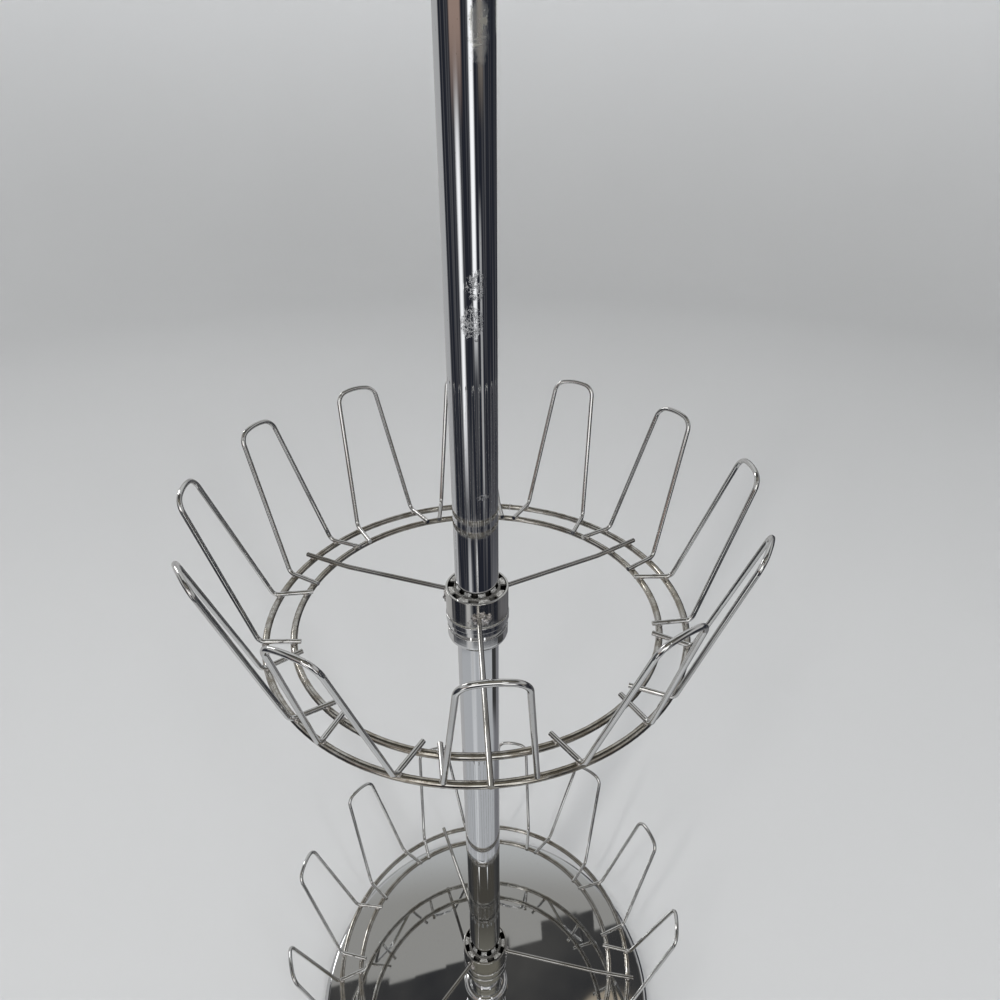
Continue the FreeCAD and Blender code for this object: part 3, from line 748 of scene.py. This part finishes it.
def dim_ceiling(tree, way, back, up):
    """Dark, cloudy ceiling, paler and browner towards the front."""
    cloudy = speckle(tree, stretched(tree, way, (6.0, 6.0, 1.2)), 1.6, 3.0)
    cloudy = between(tree, cloudy, 0.35, 0.65)
    rear = blended(tree, cloudy, (0.030, 0.031, 0.034), (0.075, 0.073, 0.070))
    overhead = between(tree, up, 0.868, 0.897, smooth=True)
    front = blended(tree, overhead, (0.085, 0.078, 0.065), (0.22, 0.21, 0.175))
    return blended(tree, between(tree, back, 0.05, -0.25, smooth=True), rear, front)


def hung_card(tree, heading, level, colour, card):
    """A soft-edged card laid over what is already there."""
    name, azimuth, middle, width, height, soft, light = card
    turned = {0: maths(tree, "SUBTRACT", heading, azimuth), 1: 180.0, 2: -180.0}
    aside = add(tree, "ShaderNodeMath", turned, operation="WRAP").outputs[0]
    shares = []
    for offset, size in ((aside, width), (maths(tree, "SUBTRACT", level, middle), height)):
        away = maths(tree, "ABSOLUTE", offset)
        shares.append(between(tree, away, (size + soft) / 2, (size - soft) / 2, smooth=True))
    laid = blended(tree, times(tree, *shares), colour, light)
    laid.node.label = name
    return laid


def inside_panel(tree, way, side, up):
    """Share of the pale panel overhead: inside its edges and well above level."""
    values = {"W": side, "Scale": PANEL_STEPS}
    blocks = add(tree, "ShaderNodeTexVoronoi", values, voronoi_dimensions="1D").outputs["Color"]
    steps = add(tree, "ShaderNodeSeparateColor", {0: blocks}).outputs[0]
    shares = []
    for facing, soft, jut in PANEL_EDGES:
        across = vector_maths(tree, "DOT_PRODUCT", way, facing)
        jutting = between(tree, steps, 0.0, 1.0, -jut / 2, jut / 2)
        across = maths(tree, "SUBTRACT", across, jutting)
        shares.append(between(tree, across, -soft, soft, smooth=True))
    shares.append(between(tree, up, 0.30, 0.50, smooth=True))
    inside = shares[0]
    for share in shares[1:]:
        inside = times(tree, inside, share)
    return inside


def room_light():
    """Dim room as the world: dark walls, hung cards, and a pale panel overhead behind the tower."""
    world = bpy.data.worlds.new("room_light")
    world.use_nodes = True
    tree = world.node_tree
    way = tree.nodes.new("ShaderNodeTexCoord").outputs["Generated"]
    side, back, up = separated(tree, way)
    heading = maths(tree, "ARCTAN2", side, times(tree, back, -1.0))
    heading = times(tree, heading, DEGREES)
    level = times(tree, maths(tree, "ARCSINE", up), DEGREES)
    walls = dark_walls(tree, way)
    for card in ROOM_CARDS:
        walls = hung_card(tree, heading, level, walls, card)
    low = between(tree, up, 0.80, 0.55, smooth=True)
    around = blended(tree, low, dim_ceiling(tree, way, back, up), walls)
    for card in LAMP_CARDS:
        around = hung_card(tree, heading, level, around, card)
    steep = between(tree, up, 0.83, 0.862, smooth=True)
    panel = blended(tree, steep, (0.52, 0.53, 0.53), (0.33, 0.325, 0.31))
    light = blended(tree, inside_panel(tree, way, side, up), around, panel)
    aim = vector_maths(tree, "DOT_PRODUCT", way, WARM_PATCH)
    warm = between(tree, aim, 0.99945, 0.99970, smooth=True)
    light = blended(tree, warm, light, (0.42, 0.36, 0.28))
    link(tree, light, tree.nodes["Background"].inputs["Color"])
    tree.nodes["Background"].inputs["Strength"].default_value = 1.0
    bpy.context.scene.world = world


def studio():
    """Backdrop, lamps and what the metal mirrors."""
    floor_and_walls()
    room_light()
    for lamp in LAMPS:
        soft_box(*lamp)
    bpy.context.scene.view_settings.view_transform = "Standard"


studio()

# ---------------------------------------------------------------- camera
FILM_WIDTH = 36                      # millimetres
FOCAL_LENGTH = 25.84
CAMERA_PLACE = (0, -0.33548, 0.71760)
CAMERA_TURN = -2.306                 # degrees: leftward about Z, down from level, and roll
CAMERA_DIP = 30.619
CAMERA_ROLL = -0.121


def set_camera():
    """Camera above and in front, looking down past the middle tier."""
    lens = bpy.data.cameras.new("camera")
    lens.sensor_width = FILM_WIDTH
    lens.lens = FOCAL_LENGTH
    lens.clip_start = 0.01
    holder = bpy.data.objects.new("camera", lens)
    heading = Matrix.Rotation(math.radians(CAMERA_TURN), 4, "Z")
    tilt = Matrix.Rotation(math.radians(90 - CAMERA_DIP), 4, "X")
    roll = Matrix.Rotation(math.radians(CAMERA_ROLL), 4, "Z")
    holder.matrix_world = Matrix.Translation(CAMERA_PLACE) @ heading @ tilt @ roll
    bpy.context.scene.collection.objects.link(holder)
    bpy.context.scene.camera = holder


set_camera()


# ---------------------------------------------------------------- finish
def write_sizes():
    """Imports json and does nothing more."""
    import json


write_sizes()
